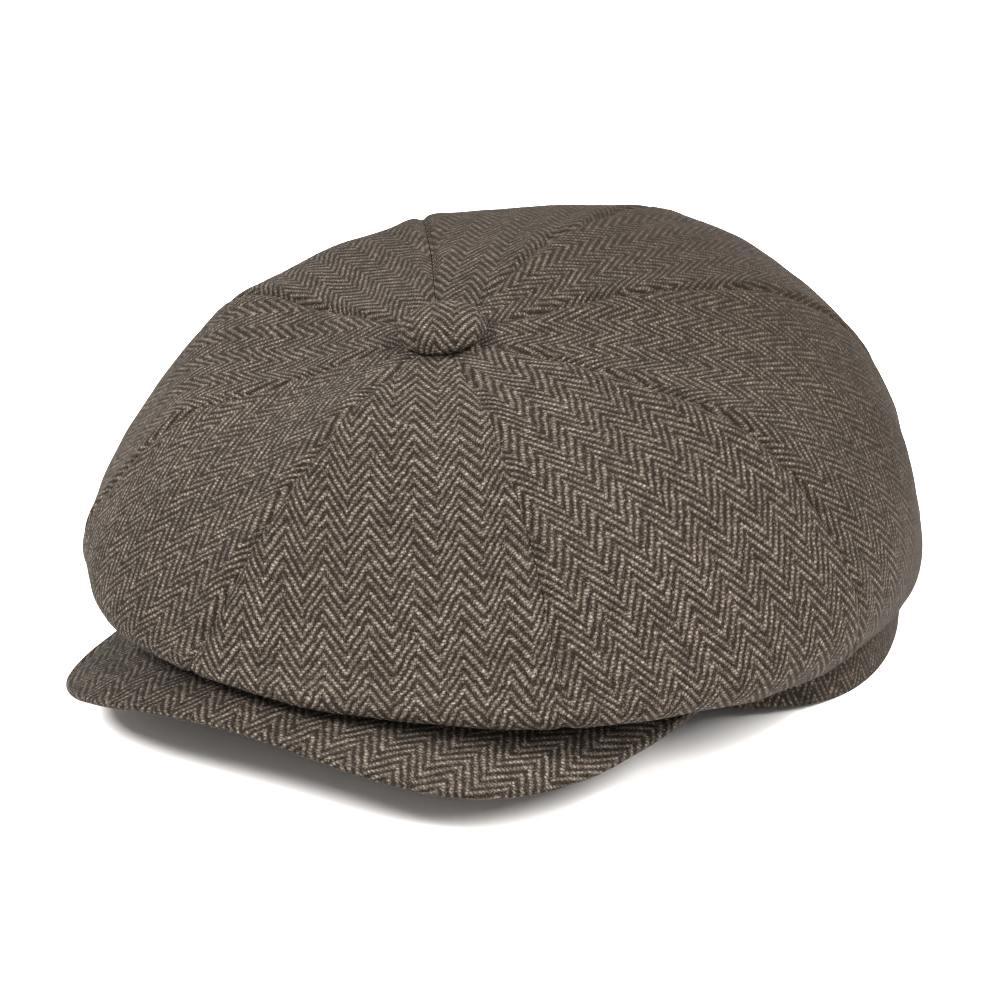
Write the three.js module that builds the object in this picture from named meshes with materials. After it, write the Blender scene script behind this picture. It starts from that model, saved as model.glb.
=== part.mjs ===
// A soft eight-panel cap with a stiffened peak, standing on a flat surface.
// Millimetres, +Z up. The peak points to -Y and the wearer's left is +X.
// The origin is the centre of the head opening, on the plane the cap stands on.
//
// Directions around the cap are angles from the front (-Y) towards the wearer's left (+X).
// A list of eight values gives a size in eight directions, in this order: front, front left,
// left, back left, back, back right, right, front right. Sizes in between are a smooth curve.

import * as THREE from "three";

const TURN = 2 * Math.PI;
const DEGREE = Math.PI / 180;
const DIRECTIONS = 8;

// Cloth and gaps.
const CLOTH = 1.6;              // tweed
const LINING_CLOTH = 0.6;       // satin
const PATCH_CLOTH = 0.8;        // canvas
const SEAM_GAP = 0.4;           // between neighbouring pieces that are sewn together
const LAYER_GAP = 0.3;          // between layers that lie on each other

// Crown.
const PANELS = 8;
const APEX = [-8, -54, 92.5];                               // where the eight panels meet
const APEX_SLOPE = [-0.05, 0.29];                          // rise of the crown there, along X and Y
const CROWN_CENTRE = [-16, -27];                           // the crown sits forward of the band
const CROWN_REACH = [121, 120, 118, 116, 118, 114, 107, 107];
const WIDEST_HEIGHT = [31, 26, 31, 59, 71, 60, 42, 33];
const SHOULDER_HEIGHT = [51, 53, 70, 91, 103, 96, 82, 63];
const TOP_HEIGHT = [79, 81, 87, 99, 108, 101, 90, 80];
const ROLL_OVERHANG = [46.5, 35, 10.5, 2.6, 2.8, 6, 17, 32];   // lowest roll of cloth, out from the band
const ROLL_HEIGHT = [25.2, 19.3, 12.4, 15.2, 18.4, 16.5, 20, 18];
const ROLL_RADIUS = [3, 3, 3, 1.2, 1.5, 2.5, 3, 3];
const TUCK_RISE = [3, 3, 3, 0, 0, 2.5, 3, 3];                  // of the cloth just inside the roll
const KNEE_OVERHANG = [2.6, 2.6, 2.6, 1, 1.1, 2.6, 2.6, 2.6];  // where it bends in over the band
const TOP_SHARE = 0.42;                                    // of the way from the apex to the widest ring
const SHOULDER_SHARE = 0.8;
const PANEL_SAG = 1.5;                                     // panels run flatter than the seams
const PANEL_TIP = 0.022;                                   // where a panel starts, as a share of its length
const SAG_ENDS = 0.8;                                      // and where its sag has faded out
const PATCH_HOLE = 0.02;                                   // the canvas patch, as shares of that length
const PATCH_EDGE = 0.075;

// Lining, a smaller bag inside the crown.
const LINING_SIZE = [0.8, 0.82, 0.9, 0.92, 0.92, 0.92, 0.92, 0.84];    // its widest ring, by the crown's
const LINING_WIDEST_HEIGHT = [44, 44, 43, 50, 54, 50, 45, 47];
const LINING_SHOULDER = 0.85;                              // its shoulder ring, by its widest
const LINING_DROP = 5;
const LINING_SHOULDER_DROP = 4.5;
const LINING_ENTRY_HEIGHT = 6;                             // over the band's top, before it goes down inside
const LINING_BEND = 0.6;                                   // share of its length that lies on the dome

// Headband: three rings inside each other.
const BAND_HALF_LENGTH = 101;
const BAND_HALF_WIDTH = 83.5;
const BAND_CLOTH = 1.4;
const INTERLINING = 0.8;
const SWEATBAND = 1.0;
const BAND_TOP = [46, 38, 23, 12, 15, 20, 28, 38];
const BAND_FRONT_LIFT = 25;                                // the peak carries the front of the band
const BAND_LIFT_ENDS = 108 * DEGREE;                       // behind this the band stands on the floor
const BAND_LIFT_SKEW = 17 * DEGREE;                        // sooner on the wearer's left than on the right
const BAND_SLUMP = 5.5;                                    // there its lower edge slumps outwards
const BAND_SLUMP_AT = 84 * DEGREE;
const BAND_SLUMP_WIDTH = 24 * DEGREE;
const INNER_RING_INSET = 2;                                // inner rings are shorter than the cloth one

// Peak.
const PEAK_HALF_WIDTH = 83.3;
const PEAK_SHIFT = -1.5;                                   // the peak lies a little off centre
const PEAK_ENDS_AT = -40;
const PEAK_FRONT_AT = -156;
const PEAK_SQUARENESS = 3.5;
const PEAK_FRONT_HEIGHT = 19.5;
const PEAK_SLOPE = 0.16;
const PEAK_ARCH = 17.4;                                    // drop of the peak's edge at PEAK_ARCH_AT
const PEAK_ARCH_AT = 80;
const PEAK_ROOT_ABOVE_BAND = 3.2;
const PEAK_ROOT_GAP = 0.5;                                 // between the peak and the band it is sewn to
const PEAK_END_STARTS = 0.7;                               // past this share of a side it runs into the root
const PEAK_CAMBER = 0.8;
const PEAK_CLOTH = 1.1;
const STIFFENER = 1;
const STIFFENER_INSET = 0.035;                             // as a share of the peak's depth
const STIFFENER_END_INSET = STIFFENER_INSET / 3;           // as a share of its edge, at its two ends

// Button.
const BUTTON_RADIUS = 11.7;
const BUTTON_HEIGHT = 5.2;
const BUTTON_CLOTH = 0.9;
const BUTTON_METAL = 0.5;
const BUTTON_TURN_UNDER = 3.2;                             // cloth turned under the button's rim
const BUTTON_RIM_ROUNDING = 0.6;
const BUTTON_GAP = 0.5;                                    // between the button and the crown
const PLATE_THICKNESS = 0.6;
const SHANK_WIRE = 0.5;
const SHANK_BEND = 1.5;
const SHANK_DROP = 2.6;
const THREAD_RING = 1.8;
const THREAD_RADIUS = 0.35;

// Grids of the sheets: columns across or around, then rows along.
const CROWN_GRID = [5, 26];
const LINING_GRID = [4, 12];
const PATCH_GRID = [24, 2];
const BAND_GRID = [48, 1];
const PEAK_GRID = [28, 4];
const BUTTON_SEGMENTS = 28;
const DOME_STEPS = 6;

// ---------------------------------------------------------------- small helpers

function mix(a, b, share) {
  return a + (b - a) * share;
}

function smooth(value) {
  const t = Math.min(1, Math.max(0, value));
  return t * t * (3 - 2 * t);
}

function add(point, direction, length) {
  return point.map((value, axis) => value + direction[axis] * length);
}

function difference(a, b) {
  return a.map((value, axis) => value - b[axis]);
}

function cross(a, b) {
  return [a[1] * b[2] - a[2] * b[1], a[2] * b[0] - a[0] * b[2], a[0] * b[1] - a[1] * b[0]];
}

function unit(vector) {
  const length = Math.hypot(...vector);
  return vector.map((value) => value / length);
}

// A smooth closed curve through eight values, read at an angle from the front.
function around(values, angle) {
  const place = (((angle / TURN) * DIRECTIONS) % DIRECTIONS + DIRECTIONS) % DIRECTIONS;
  const first = Math.floor(place);
  const t = place - first;
  const value = (step) => values[(first + step + DIRECTIONS) % DIRECTIONS];
  const [a, b, c, d] = [value(-1), value(0), value(1), value(2)];
  return b + 0.5 * t * (c - a + t * (2 * a - 5 * b + 4 * c - d + t * (3 * b - a - 3 * c + d)));
}

// A solid between two faces that share one grid. Each face is a function of a share across and a
// share along. The outer face looks towards (along x across).
function closedSheet([columns, rows], outer, inner, wraps) {
  const lines = wraps ? columns : columns + 1;
  const perLine = rows + 1;
  const positions = [];
  for (const face of [outer, inner]) {
    for (let column = 0; column < lines; column += 1) {
      for (let row = 0; row <= rows; row += 1) {
        positions.push(...face(column / columns, row / rows));
      }
    }
  }
  const index = [];
  const at = (side, column, row) => (side * lines + (column % lines)) * perLine + row;
  const quad = (a, b, c, d) => index.push(a, b, c, a, c, d);
  for (let column = 0; column < columns; column += 1) {
    const next = column + 1;
    for (let row = 0; row < rows; row += 1) {
      quad(at(0, column, row), at(0, column, row + 1), at(0, next, row + 1), at(0, next, row));
      quad(at(1, column, row), at(1, next, row), at(1, next, row + 1), at(1, column, row + 1));
    }
    quad(at(0, column, 0), at(0, next, 0), at(1, next, 0), at(1, column, 0));
    quad(at(0, next, rows), at(0, column, rows), at(1, column, rows), at(1, next, rows));
  }
  for (let row = 0; row < rows && !wraps; row += 1) {
    quad(at(0, 0, row + 1), at(0, 0, row), at(1, 0, row), at(1, 0, row + 1));
    quad(at(0, columns, row), at(0, columns, row + 1), at(1, columns, row + 1), at(1, columns, row));
  }
  const geometry = new THREE.BufferGeometry();
  geometry.setAttribute("position", new THREE.Float32BufferAttribute(positions, 3));
  geometry.setIndex(index);
  geometry.computeVertexNormals();
  return geometry;
}

// A sheet of even thickness about a surface(across, along), moved out from it by an offset.
function clothSheet(grid, surface, offset, thickness, wraps = false) {
  const step = 1e-4;
  const normalAt = (across, along) => {
    const acrossWay = difference(surface(across + step, along), surface(across - step, along));
    const alongWay = difference(surface(across, along + step), surface(across, along - step));
    return unit(cross(alongWay, acrossWay));
  };
  const face = (distance) => (across, along) => (
    add(surface(across, along), normalAt(across, along), distance)
  );
  return closedSheet(grid, face(offset + thickness / 2), face(offset - thickness / 2), wraps);
}

// ---------------------------------------------------------------- headband

// How far the band leans out from its oval at a height.
function bandSlump(angle, height) {
  const fromMiddle = Math.atan2(Math.sin(angle - BAND_SLUMP_AT), Math.cos(angle - BAND_SLUMP_AT));
  const belowTop = Math.max(0, 1 - height / bandTop(angle));
  return BAND_SLUMP * belowTop * Math.exp(-((fromMiddle / BAND_SLUMP_WIDTH) ** 2));
}

// A point on the band's outer face, moved straight out by a distance.
function bandPoint(angle, outwards, height) {
  const x = BAND_HALF_WIDTH * Math.sin(angle);
  const y = -BAND_HALF_LENGTH * Math.cos(angle);
  const away = unit([Math.sin(angle) / BAND_HALF_WIDTH, -Math.cos(angle) / BAND_HALF_LENGTH]);
  const reach = outwards + bandSlump(angle, height);
  return [x + away[0] * reach, y + away[1] * reach, height];
}

// The band stands on the floor at the back and rises to the middle of the peak at the front.
function bandBottom(angle) {
  const fromFront = Math.abs(Math.atan2(Math.sin(angle), Math.cos(angle)));
  const ends = BAND_LIFT_ENDS - BAND_LIFT_SKEW * Math.sin(angle);
  return BAND_FRONT_LIFT * smooth(1 - fromFront / ends);
}

function bandTop(angle) {
  return around(BAND_TOP, angle);
}

function bandRing(inset, thickness, shorter) {
  const face = (outwards) => (across, along) => {
    const angle = across * TURN;
    const height = mix(bandTop(angle) - shorter, bandBottom(angle) + shorter, along);
    return bandPoint(angle, outwards, height);
  };
  return closedSheet(BAND_GRID, face(-inset), face(-inset - thickness), true);
}

const INTERLINING_INSET = BAND_CLOTH + LAYER_GAP;
const SWEATBAND_INSET = INTERLINING_INSET + INTERLINING + LAYER_GAP;

// ---------------------------------------------------------------- crown

function crownRing(angle, share, heights) {
  const reach = around(CROWN_REACH, angle);
  const widest = [CROWN_CENTRE[0] + reach * Math.sin(angle), CROWN_CENTRE[1] - reach * Math.cos(angle)];
  return [mix(APEX[0], widest[0], share), mix(APEX[1], widest[1], share), around(heights, angle)];
}

// Where a line from the crown's centre meets the band's oval, moved outwards by a distance.
// The height is counted from a given level, or from the band's top edge there.
function onOval(angle, outwards, height, fromBandTop) {
  const way = [Math.sin(angle), -Math.cos(angle)];
  const radii = [BAND_HALF_WIDTH + outwards, BAND_HALF_LENGTH + outwards];
  const start = CROWN_CENTRE.map((value, axis) => value / radii[axis]);
  const scaled = way.map((value, axis) => value / radii[axis]);
  const a = scaled[0] ** 2 + scaled[1] ** 2;
  const b = start[0] * scaled[0] + start[1] * scaled[1];
  const c = start[0] ** 2 + start[1] ** 2 - 1;
  const reach = (-b + Math.sqrt(b ** 2 - a * c)) / a;
  const [x, y] = [CROWN_CENTRE[0] + reach * way[0], CROWN_CENTRE[1] + reach * way[1]];
  const bandAngle = Math.atan2(x / BAND_HALF_WIDTH, -y / BAND_HALF_LENGTH);
  return [x, y, height + (fromBandTop ? bandTop(bandAngle) : 0)];
}

// The rings of the tweed crown, from the apex round the roll to the top edge of the band.
function crownRings(angle) {
  const overhang = around(ROLL_OVERHANG, angle);
  const roll = around(ROLL_HEIGHT, angle);
  const radius = around(ROLL_RADIUS, angle);
  return [
    APEX,
    crownRing(angle, TOP_SHARE, TOP_HEIGHT),
    crownRing(angle, SHOULDER_SHARE, SHOULDER_HEIGHT),
    crownRing(angle, 1, WIDEST_HEIGHT),
    onOval(angle, overhang + radius, roll + radius, false),
    onOval(angle, overhang, roll, false),
    onOval(angle, overhang - radius, roll + around(TUCK_RISE, angle), false),
    onOval(angle, around(KNEE_OVERHANG, angle), CLOTH, true),
    onOval(angle, -BAND_CLOTH / 2, CLOTH / 2 + SEAM_GAP, true),
  ];
}
const CROWN_WIDEST_RING = 3;

// The rings of the satin lining, a smaller bag that hangs from the sweatband's top edge.
function liningRings(angle) {
  const size = around(LINING_SIZE, angle);
  const upper = crownRing(angle, TOP_SHARE, TOP_HEIGHT);
  const shoulder = crownRing(angle, LINING_SHOULDER * size, SHOULDER_HEIGHT);
  const shoulderPlace = (LINING_SHOULDER * size - TOP_SHARE) / (SHOULDER_SHARE - TOP_SHARE);
  shoulder[2] = mix(upper[2], shoulder[2], shoulderPlace) - LINING_SHOULDER_DROP;
  upper[2] -= LINING_DROP;
  return [
    [APEX[0], APEX[1], APEX[2] - LINING_DROP],
    upper,
    shoulder,
    crownRing(angle, size, LINING_WIDEST_HEIGHT),
    onOval(angle, -SWEATBAND_INSET, LINING_ENTRY_HEIGHT, true),
    onOval(angle, -SWEATBAND_INSET - SWEATBAND / 2, SEAM_GAP - INNER_RING_INSET, true),
  ];
}

// How far along the cloth each ring lies, averaged over the eight directions.
function ringPlaces(rings) {
  const places = [0];
  const count = rings(0).length;
  for (let ring = 1; ring < count; ring += 1) {
    let total = 0;
    for (let direction = 0; direction < DIRECTIONS; direction += 1) {
      const line = rings((direction / DIRECTIONS) * TURN);
      total += Math.hypot(...difference(line[ring], line[ring - 1]));
    }
    places.push(places[ring - 1] + total / DIRECTIONS);
  }
  return places.map((place) => place / places[count - 1]);
}

// A smooth surface through a set of rings: a point for an angle and a share of the length.
function ringSurface(rings, places) {
  const last = places.length - 1;
  return (angle, along) => {
    const line = rings(angle);
    const speed = (ring) => (
      difference(line[ring + 1], line[ring]).map((value) => value / (places[ring + 1] - places[ring]))
    );
    const tangent = (ring) => {
      if (ring === 0) {
        const run = Math.hypot(...speed(0).slice(0, 2));
        const rise = APEX_SLOPE[0] * Math.sin(angle) - APEX_SLOPE[1] * Math.cos(angle);
        return [run * Math.sin(angle), -run * Math.cos(angle), run * rise];
      }
      if (ring === last) {
        return speed(last - 1);
      }
      const share = (places[ring + 1] - places[ring]) / (places[ring + 1] - places[ring - 1]);
      return speed(ring).map((value, axis) => mix(value, speed(ring - 1)[axis], share));
    };
    let ring = 0;
    while (ring < last - 1 && along > places[ring + 1]) {
      ring += 1;
    }
    const span = places[ring + 1] - places[ring];
    const t = (along - places[ring]) / span;
    const start = tangent(ring);
    const end = tangent(ring + 1);
    return [0, 1, 2].map((axis) => (
      (2 * t ** 3 - 3 * t ** 2 + 1) * line[ring][axis]
      + (t ** 3 - 2 * t ** 2 + t) * span * start[axis]
      + (3 * t ** 2 - 2 * t ** 3) * line[ring + 1][axis]
      + (t ** 3 - t ** 2) * span * end[axis]
    ));
  };
}

// The surface with each panel sagging a little between its two seams.
function paneledSurface(rings, places, sag) {
  const surface = ringSurface(rings, places);
  const middle = [...CROWN_CENTRE, WIDEST_HEIGHT[0]];
  return (angle, along) => {
    const point = surface(angle, along);
    const inPanel = ((((angle / TURN) * PANELS) % 1) + 1) % 1;
    const depth = sag * 4 * inPanel * (1 - inPanel) * Math.sin(Math.PI * Math.min(1, along / SAG_ENDS));
    return add(point, unit(difference(middle, point)), depth);
  };
}

// One panel between two seams, leaving half a seam gap at each side. Half of its rows lie on the
// dome, up to the share of the length called bend, and the rest follow the tighter curves below.
function panelPatch(surface, panel, bend) {
  const angleStep = 1e-4;
  return (across, along) => {
    const place = along < 0.5 ? mix(PANEL_TIP, bend, along * 2) : mix(bend, 1, along * 2 - 1);
    const middle = ((panel + 0.5) / PANELS) * TURN;
    const perAngle = Math.hypot(...difference(
      surface(middle + angleStep, place),
      surface(middle - angleStep, place),
    )) / (2 * angleStep);
    const margin = SEAM_GAP / 2 / perAngle;
    const angle = mix((panel / PANELS) * TURN + margin, ((panel + 1) / PANELS) * TURN - margin, across);
    return surface(angle, place);
  };
}

const CROWN_PLACES = ringPlaces(crownRings);
const LINING_PLACES = ringPlaces(liningRings);
const CROWN_SURFACE = paneledSurface(crownRings, CROWN_PLACES, PANEL_SAG);
const LINING_SURFACE = paneledSurface(liningRings, LINING_PLACES, 0);

function crownPanel(panel) {
  return clothSheet(CROWN_GRID, panelPatch(CROWN_SURFACE, panel, CROWN_PLACES[CROWN_WIDEST_RING]), 0, CLOTH);
}

function liningPanel(panel) {
  return clothSheet(LINING_GRID, panelPatch(LINING_SURFACE, panel, LINING_BEND), 0, LINING_CLOTH);
}

// A round of canvas under the apex, with a hole for the button's shank.
function crownPatch() {
  const surface = (across, along) => CROWN_SURFACE(across * TURN, mix(PATCH_HOLE, PATCH_EDGE, along));
  const offset = -(CLOTH + PATCH_CLOTH) / 2 - LAYER_GAP;
  return clothSheet(PATCH_GRID, surface, offset, PATCH_CLOTH, true);
}

// ---------------------------------------------------------------- peak

const PEAK_ROOT_END = Math.acos(-PEAK_ENDS_AT / BAND_HALF_LENGTH);
const PEAK_DEPTH = PEAK_ENDS_AT - PEAK_FRONT_AT;

function peakRoot(side) {
  const angle = side * PEAK_ROOT_END;
  return bandPoint(angle, PEAK_ROOT_GAP, bandBottom(angle) + PEAK_ROOT_ABOVE_BAND);
}

// The outer edge is a squared-off half oval, arched across and higher towards the root.
function peakEdge(side) {
  const angle = side * 90 * DEGREE;
  const widths = (Math.abs(Math.sin(angle)) / PEAK_HALF_WIDTH) ** PEAK_SQUARENESS;
  const depths = (Math.abs(Math.cos(angle)) / PEAK_DEPTH) ** PEAK_SQUARENESS;
  const reach = (widths + depths) ** (-1 / PEAK_SQUARENESS);
  const x = PEAK_SHIFT + reach * Math.sin(angle);
  const y = PEAK_ENDS_AT - reach * Math.cos(angle);
  const free = PEAK_FRONT_HEIGHT + PEAK_SLOPE * (y - PEAK_FRONT_AT) - PEAK_ARCH * (x / PEAK_ARCH_AT) ** 2;
  const end = smooth((Math.abs(side) - PEAK_END_STARTS) / (1 - PEAK_END_STARTS));
  return [x, y, mix(free, peakRoot(side)[2], end)];
}

function peakSurface(across, along) {
  const side = 2 * across - 1;
  const root = peakRoot(side);
  const edge = peakEdge(side);
  const point = root.map((value, axis) => mix(value, edge[axis], along));
  point[2] += PEAK_CAMBER * Math.sin(Math.PI * along);
  return point;
}

// One layer of the peak, of even height, a given distance above the middle layer.
function peakLayer(above, thickness, endInset, inset) {
  const face = (height) => (across, along) => {
    const point = peakSurface(mix(endInset, 1 - endInset, across), mix(inset, 1 - inset, along));
    return [point[0], point[1], point[2] + height];
  };
  return closedSheet(PEAK_GRID, face(above + thickness / 2), face(above - thickness / 2), false);
}

// ---------------------------------------------------------------- button

const BUTTON_AXIS = unit([-APEX_SLOPE[0], -APEX_SLOPE[1], 1]);

// Moves a shape built about the Z axis onto the apex, standing off the cloth.
function onApex(geometry, height) {
  const turn = new THREE.Quaternion().setFromUnitVectors(
    new THREE.Vector3(0, 0, 1),
    new THREE.Vector3(...BUTTON_AXIS),
  );
  const place = new THREE.Vector3(...add(APEX, BUTTON_AXIS, height));
  geometry.applyMatrix4(new THREE.Matrix4().compose(place, turn, new THREE.Vector3(1, 1, 1)));
  return geometry;
}

// Turns a profile of [radius, height] pairs about the Z axis.
function turned(profile, segments) {
  const geometry = new THREE.LatheGeometry(profile.map(([r, z]) => new THREE.Vector2(r, z)), segments);
  return geometry.rotateX(Math.PI / 2);
}

// The side view of a shallow dome, from its rim to its top.
function domeLine(radius, height, lift) {
  const line = [];
  for (let step = 0; step < DOME_STEPS; step += 1) {
    const angle = (step / DOME_STEPS) * 90 * DEGREE;
    line.push([radius * Math.cos(angle) ** 0.8, lift + height * Math.sin(angle) ** 0.9]);
  }
  return [...line, [0, lift + height]];
}

const BUTTON_LIFT = CLOTH / 2 + BUTTON_CLOTH + BUTTON_GAP;

// The cloth over the button, turned under its rim.
function buttonCover() {
  const outside = domeLine(BUTTON_RADIUS, BUTTON_HEIGHT, 0);
  const inside = domeLine(BUTTON_RADIUS - BUTTON_CLOTH, BUTTON_HEIGHT - BUTTON_CLOTH, 0).reverse();
  const under = BUTTON_RADIUS - BUTTON_TURN_UNDER;
  const rim = [BUTTON_RADIUS - BUTTON_RIM_ROUNDING, -BUTTON_CLOTH];
  const profile = [...inside, [under, 0], [under, -BUTTON_CLOTH], rim, ...outside];
  return onApex(turned(profile, BUTTON_SEGMENTS), BUTTON_LIFT);
}

function buttonShell() {
  const radius = BUTTON_RADIUS - BUTTON_CLOTH - LAYER_GAP;
  const height = BUTTON_HEIGHT - BUTTON_CLOTH - 2 * LAYER_GAP;
  const outside = domeLine(radius, height, LAYER_GAP);
  const inside = domeLine(radius - BUTTON_METAL, height - BUTTON_METAL, LAYER_GAP).reverse();
  return onApex(turned([...inside, ...outside], BUTTON_SEGMENTS), BUTTON_LIFT);
}

function buttonBackPlate() {
  const radius = BUTTON_RADIUS - BUTTON_TURN_UNDER - LAYER_GAP;
  const top = PLATE_THICKNESS - BUTTON_CLOTH;
  const profile = [[0, -BUTTON_CLOTH], [radius, -BUTTON_CLOTH], [radius, top], [0, top]];
  return onApex(turned(profile, BUTTON_SEGMENTS), BUTTON_LIFT);
}

// A wire loop under the back plate, bent in a half round.
function buttonShankLoop() {
  const wire = new THREE.Shape().absarc(0, 0, SHANK_WIRE, 0, TURN, false);
  const bends = [[-1, 0], [-1, -0.4], [-0.7, -0.8], [0, -1], [0.7, -0.8], [1, -0.4], [1, 0]];
  const path = new THREE.CatmullRomCurve3(
    bends.map(([x, z]) => new THREE.Vector3(x * SHANK_BEND, 0, z * SHANK_DROP)),
  );
  const loop = new THREE.ExtrudeGeometry(wire, { steps: 12, extrudePath: path, curveSegments: 8 });
  return onApex(loop, BUTTON_LIFT - BUTTON_CLOTH - LAYER_GAP);
}

// A round of strong thread through the loop, holding the button to the canvas patch.
function buttonThread() {
  const ring = new THREE.TorusGeometry(THREAD_RING, THREAD_RADIUS, 6, 16);
  ring.rotateY(90 * DEGREE);
  const loopBottom = BUTTON_LIFT - BUTTON_CLOTH - LAYER_GAP - SHANK_DROP;
  return onApex(ring, loopBottom + SHANK_WIRE + LAYER_GAP + THREAD_RADIUS - THREAD_RING);
}

// ---------------------------------------------------------------- the whole cap

function material(name, color, roughness, metalness = 0) {
  const surface = new THREE.MeshStandardMaterial({ color, roughness, metalness });
  surface.name = name;
  return surface;
}

const TWEED = material("tweed", 0x62584f, 0.95);
const SATIN = material("satin_lining", 0x2b2623, 0.45);
const TWILL = material("cotton_twill", 0x2a2724, 0.8);
const CANVAS = material("canvas", 0xb9ad98, 0.9);
const BOARD = material("stiffener_board", 0xd8d6d0, 0.5);
const METAL = material("plated_metal", 0xa9a9a6, 0.35, 0.9);
const THREAD = material("thread", 0x3a332d, 0.85);

const cap = new THREE.Group();
cap.name = "cap";
const piece = (name, geometry, surface) => {
  const mesh = new THREE.Mesh(geometry, surface);
  mesh.name = name;
  cap.add(mesh);
};
for (let panel = 0; panel < PANELS; panel += 1) {
  piece(`crown_panel_${panel + 1}`, crownPanel(panel), TWEED);
  piece(`lining_panel_${panel + 1}`, liningPanel(panel), SATIN);
}
piece("crown_patch", crownPatch(), CANVAS);
piece("outer_headband", bandRing(0, BAND_CLOTH, 0), TWEED);
piece("headband_interlining", bandRing(INTERLINING_INSET, INTERLINING, INNER_RING_INSET), CANVAS);
piece("sweatband", bandRing(SWEATBAND_INSET, SWEATBAND, INNER_RING_INSET), TWILL);
const layerStep = (PEAK_CLOTH + STIFFENER) / 2 + LAYER_GAP;
piece("peak_top_cover", peakLayer(layerStep, PEAK_CLOTH, 0, 0), TWEED);
piece("peak_stiffener", peakLayer(0, STIFFENER, STIFFENER_END_INSET, STIFFENER_INSET), BOARD);
piece("peak_under_cover", peakLayer(-layerStep, PEAK_CLOTH, 0, 0), TWEED);
piece("button_cover", buttonCover(), TWEED);
piece("button_shell", buttonShell(), METAL);
piece("button_back_plate", buttonBackPlate(), METAL);
piece("button_shank_loop", buttonShankLoop(), METAL);
piece("button_thread", buttonThread(), THREAD);

export default cap;
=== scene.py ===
"""The looks of a soft eight-panel tweed cap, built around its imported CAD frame.

Metres, +Z up. The peak points to -Y and the wearer's left is +X. The origin is the centre of the
head opening, on the plane the cap stands on. Directions round the cap are angles from the front
(-Y) towards +X, and a list of eight values goes round in that order: front, front left, left,
back left, back, back right, right, front right.
"""

import math

import bpy
import numpy as np
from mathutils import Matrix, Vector, noise


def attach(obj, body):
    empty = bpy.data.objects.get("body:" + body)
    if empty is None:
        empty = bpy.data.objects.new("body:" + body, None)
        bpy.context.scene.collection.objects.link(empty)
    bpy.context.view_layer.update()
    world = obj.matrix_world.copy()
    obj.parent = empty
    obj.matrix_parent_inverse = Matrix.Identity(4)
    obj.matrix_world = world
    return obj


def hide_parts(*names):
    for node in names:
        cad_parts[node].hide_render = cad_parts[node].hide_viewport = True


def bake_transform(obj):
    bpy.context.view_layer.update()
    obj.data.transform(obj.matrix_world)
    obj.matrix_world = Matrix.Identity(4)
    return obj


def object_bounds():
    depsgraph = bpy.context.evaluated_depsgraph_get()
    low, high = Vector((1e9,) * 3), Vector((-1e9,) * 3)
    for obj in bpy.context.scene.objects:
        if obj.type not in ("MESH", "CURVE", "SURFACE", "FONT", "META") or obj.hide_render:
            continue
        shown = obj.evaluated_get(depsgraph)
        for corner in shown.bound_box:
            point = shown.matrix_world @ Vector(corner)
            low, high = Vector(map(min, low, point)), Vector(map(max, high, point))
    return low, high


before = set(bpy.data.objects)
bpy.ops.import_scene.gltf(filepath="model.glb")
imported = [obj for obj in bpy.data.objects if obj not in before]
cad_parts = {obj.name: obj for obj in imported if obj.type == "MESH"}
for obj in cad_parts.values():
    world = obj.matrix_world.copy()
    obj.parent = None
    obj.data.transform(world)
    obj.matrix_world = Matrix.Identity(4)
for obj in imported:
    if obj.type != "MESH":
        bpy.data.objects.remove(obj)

cad_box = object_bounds()

MM = 0.001
UP = np.array([0.0, 0.0, 1.0])
TURN = 2 * math.pi
DEGREE = math.pi / 180
DIRECTIONS = 8
ANGLE_STEP = 1e-4              # for measuring how fast a surface moves with the angle

# -------- driving sizes

CLOTH = 1.6 * MM               # tweed
LINING_CLOTH = 0.6 * MM
SEAM_GAP = 0.12 * MM           # between two panels, deep in their seam
TURNED_GAP = 0.15 * MM         # between the lower edge of crown or lining and its band

PANELS = 8
APEX = np.array([-8, -54, 92.5]) * MM
APEX_SLOPE = (-0.05, 0.29)     # rise of the cloth under the button, along X and along Y
CROWN_CENTRE = np.array([-16, -27]) * MM
# The crown's rings: how far out and how high they lie, in eight directions.
CROWN_REACH = np.array([121, 120, 118, 116, 118, 114, 107, 107]) * MM
WIDEST_HEIGHT = np.array([31, 26, 31, 59, 71, 60, 42, 33]) * MM
SHOULDER_HEIGHT = np.array([51, 53, 70, 91, 103, 96, 82, 63]) * MM
TOP_HEIGHT = np.array([79, 81, 87, 99, 108, 101, 90, 80]) * MM
ROLL_OVERHANG = np.array([46.5, 35, 10.5, 2.6, 2.8, 6, 17, 32]) * MM
ROLL_HEIGHT = np.array([25.2, 19.3, 12.4, 15.2, 18.4, 16.5, 20, 18]) * MM
ROLL_RADIUS = np.array([3, 3, 3, 1.2, 1.5, 2.5, 3, 3]) * MM
TUCK_RISE = np.array([3, 3, 3, 0, 0, 2.5, 3, 3]) * MM
KNEE_OVERHANG = np.array([2.6, 2.6, 2.6, 1, 1.1, 2.6, 2.6, 2.6]) * MM
TOP_SHARE = 0.42               # of the way from the apex out to the widest ring
SHOULDER_SHARE = 0.8
PANEL_SAG = 1.5 * MM           # panels run flatter than the seams
SAG_ENDS = 0.8                 # share of a panel's length
PANEL_TIP = 0.022              # where panels start, under the button
CROWN_WIDEST_RING = 3
CROWN_CROWDING = 0.8           # how much a panel's points crowd towards its seams

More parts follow.
